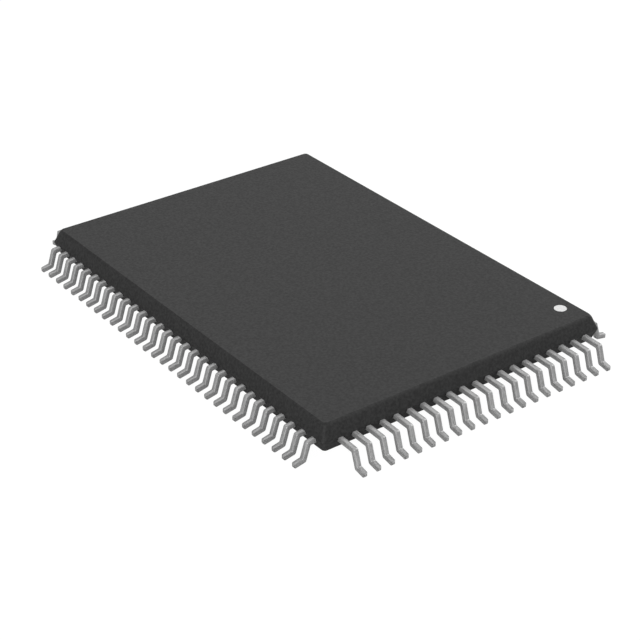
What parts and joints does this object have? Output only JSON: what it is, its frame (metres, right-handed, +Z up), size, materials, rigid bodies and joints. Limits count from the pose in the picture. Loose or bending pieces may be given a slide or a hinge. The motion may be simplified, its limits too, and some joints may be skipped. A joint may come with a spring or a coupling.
{
  "type": "quad flat pack chip",
  "caption": "Thin rectangular moulded chip package with bent flat-footed leads along all four sides and a round mark at the first pin.",
  "frame": {"origin": "under the middle of the body, on the plane that the feet stand on", "axes": "+Z up, square to the top face; +Y along the long side, towards the end with the round mark; +X along the short side, away from the side with the round mark"},
  "size_m": [0.0158, 0.023, 0.0016],
  "materials": {
    "mould_compound": "matte",
    "tinned_lead": "satin",
    "white_ink": "matte",
    "bare_copper": "satin",
    "silver_adhesive": "satin",
    "silicon": "gloss",
    "gold_wire": "gloss"
  },
  "bodies": {
    "root": {"moulded_body": "mould_compound", "pin_one_mark": "white_ink", "die_pad": "bare_copper", "die_adhesive": "silver_adhesive", "silicon_die": "silicon", "leads_001_005": "tinned_lead", "leads_006_010": "tinned_lead", "leads_011_015": "tinned_lead", "leads_016_020": "tinned_lead", "leads_021_025": "tinned_lead", "leads_026_030": "tinned_lead", "leads_031_035": "tinned_lead", "leads_036_040": "tinned_lead", "leads_041_045": "tinned_lead", "leads_046_050": "tinned_lead", "leads_051_055": "tinned_lead", "leads_056_060": "tinned_lead", "leads_061_065": "tinned_lead", "leads_066_070": "tinned_lead", "leads_071_075": "tinned_lead", "leads_076_080": "tinned_lead", "leads_081_085": "tinned_lead", "leads_086_090": "tinned_lead", "leads_091_095": "tinned_lead", "leads_096_100": "tinned_lead", "bond_wires_001_005": "gold_wire", "bond_wires_006_010": "gold_wire", "bond_wires_011_015": "gold_wire", "bond_wires_016_020": "gold_wire", "bond_wires_021_025": "gold_wire", "bond_wires_026_030": "gold_wire", "bond_wires_031_035": "gold_wire", "bond_wires_036_040": "gold_wire", "bond_wires_041_045": "gold_wire", "bond_wires_046_050": "gold_wire", "bond_wires_051_055": "gold_wire", "bond_wires_056_060": "gold_wire", "bond_wires_061_065": "gold_wire", "bond_wires_066_070": "gold_wire", "bond_wires_071_075": "gold_wire", "bond_wires_076_080": "gold_wire", "bond_wires_081_085": "gold_wire", "bond_wires_086_090": "gold_wire", "bond_wires_091_095": "gold_wire", "bond_wires_096_100": "gold_wire"}
  },
  "joints": []
}
